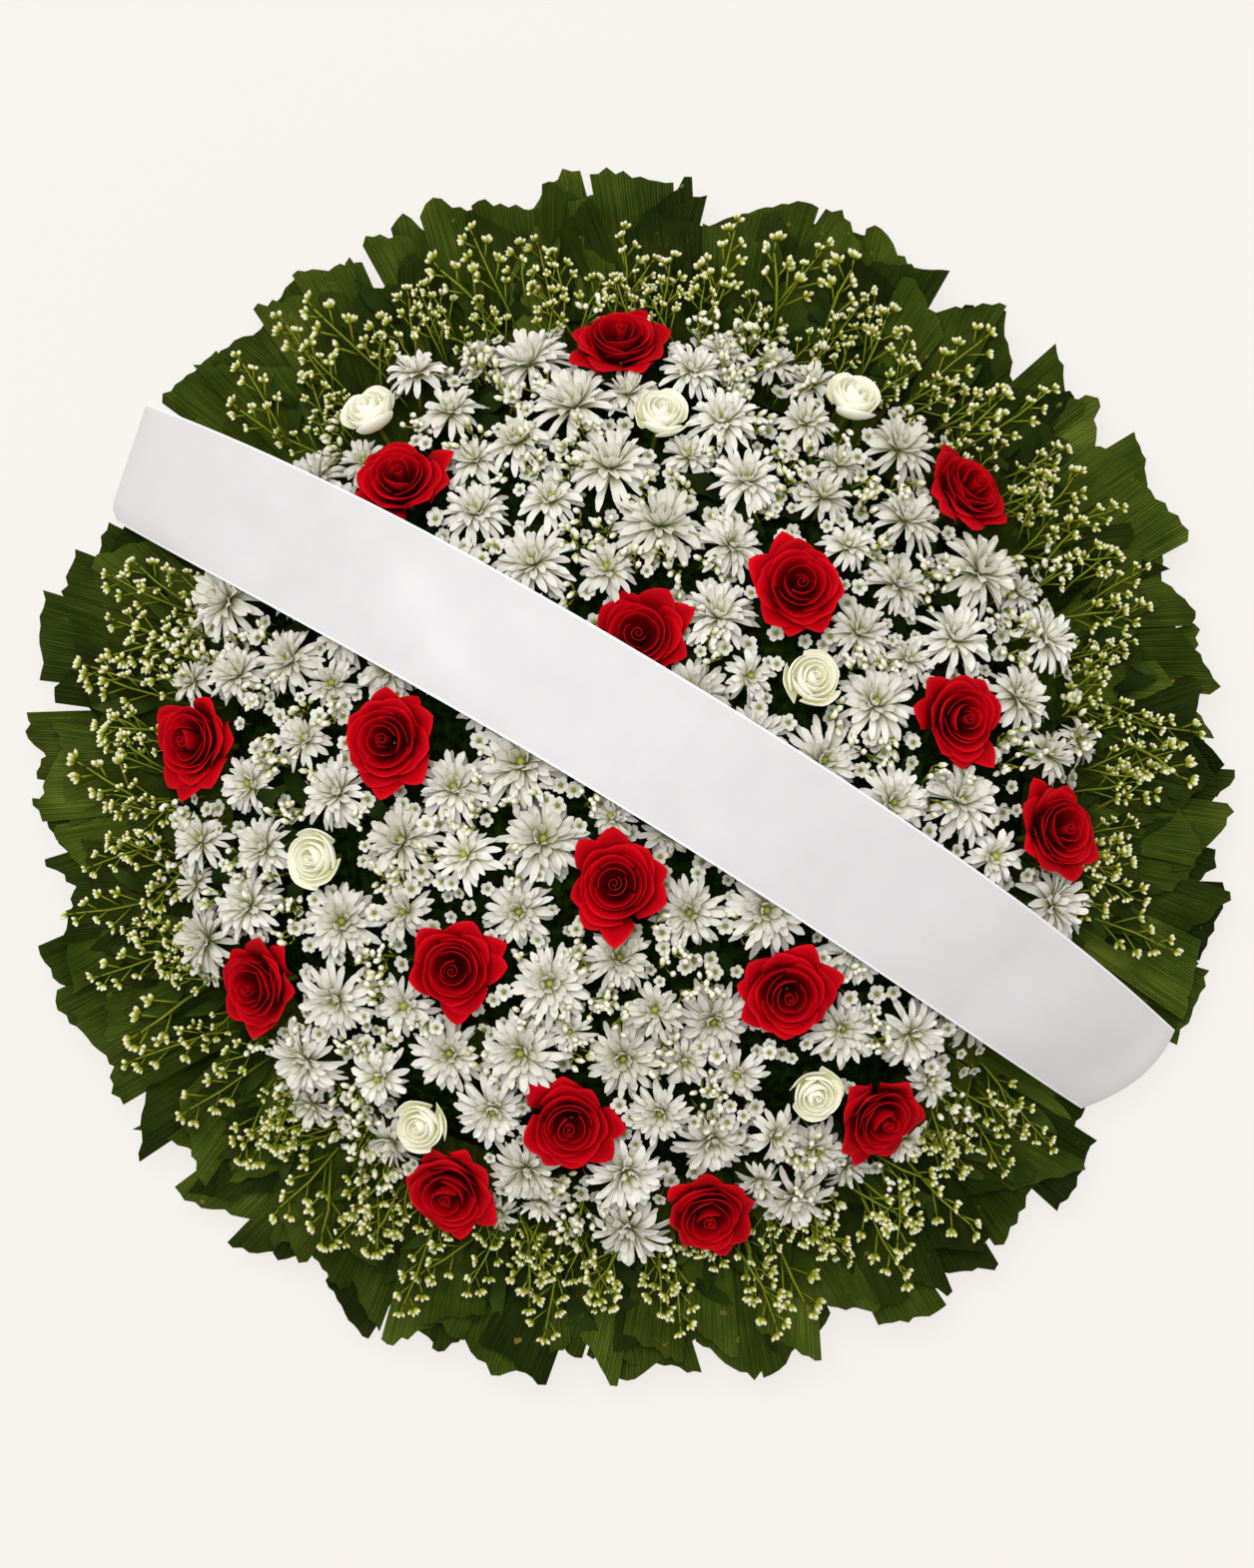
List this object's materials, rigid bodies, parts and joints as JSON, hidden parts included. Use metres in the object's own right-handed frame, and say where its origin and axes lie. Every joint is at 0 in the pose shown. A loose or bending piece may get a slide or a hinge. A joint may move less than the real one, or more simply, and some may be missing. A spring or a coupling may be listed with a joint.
{
  "type": "memorial flower wreath",
  "caption": "Round mound of white chrysanthemums and red and cream roses with a broad leaf collar and a blank white satin sash across it, built on a straw pad and crossed battens.",
  "frame": {"origin": "middle of the wreath's back, on the lower face of the upright batten where the two battens cross", "axes": "+Z out of the flowered face (up while it lies on its back), +Y towards the top when it hangs from its wire loop, +X to the right seen from the front"},
  "size_m": [0.995, 0.9965, 0.2322],
  "materials": {
    "pine": "sawn, unfinished",
    "straw": "bound straw, matt",
    "steel": "galvanised wire",
    "foam": "wet floral foam under moss, matt",
    "red_petals": "velvety fresh petal, deep red",
    "cream_petals": "soft fresh petal, cream white",
    "white_petals": "soft fresh petal, white",
    "leaves": "leathery dark green leaf, slight sheen",
    "filler": "yellow-green sprigs with small white buds",
    "satin": "white satin, soft sheen, blank"
  },
  "bodies": {
    "root": {"batten_cross": "pine", "batten_upright": "pine", "chrysanthemum_spray_01": "white_petals", "chrysanthemum_spray_02": "white_petals", "chrysanthemum_spray_03": "white_petals", "chrysanthemum_spray_04": "white_petals", "chrysanthemum_spray_05": "white_petals", "chrysanthemum_spray_06": "white_petals", "chrysanthemum_spray_07": "white_petals", "chrysanthemum_spray_08": "white_petals", "chrysanthemum_spray_09": "white_petals", "chrysanthemum_spray_10": "white_petals", "chrysanthemum_spray_11": "white_petals", "chrysanthemum_spray_12": "white_petals", "filler_sprigs_01": "filler", "filler_sprigs_02": "filler", "filler_sprigs_03": "filler", "filler_sprigs_04": "filler", "filler_sprigs_05": "filler", "filler_sprigs_06": "filler", "foam_mound": "foam", "hanger_wire": "steel", "leaf_fan_01": "leaves", "leaf_fan_02": "leaves", "leaf_fan_03": "leaves", "leaf_fan_04": "leaves", "leaf_fan_05": "leaves", "leaf_fan_06": "leaves", "leaf_fan_07": "leaves", "leaf_fan_08": "leaves", "leaf_fan_09": "leaves", "red_rose_01": "red_petals", "red_rose_02": "red_petals", "red_rose_03": "red_petals", "red_rose_04": "red_petals", "red_rose_05": "red_petals", "red_rose_06": "red_petals", "red_rose_07": "red_petals", "red_rose_08": "red_petals", "red_rose_09": "red_petals", "red_rose_10": "red_petals", "red_rose_11": "red_petals", "red_rose_12": "red_petals", "red_rose_13": "red_petals", "red_rose_14": "red_petals", "red_rose_15": "red_petals", "red_rose_16": "red_petals", "red_rose_17": "red_petals", "sash": "satin", "sash_pin_left": "steel", "sash_pin_right": "steel", "straw_pad": "straw", "white_rose_01": "cream_petals", "white_rose_02": "cream_petals", "white_rose_03": "cream_petals", "white_rose_04": "cream_petals", "white_rose_05": "cream_petals", "white_rose_06": "cream_petals", "white_rose_07": "cream_petals"}
  },
  "joints": []
}
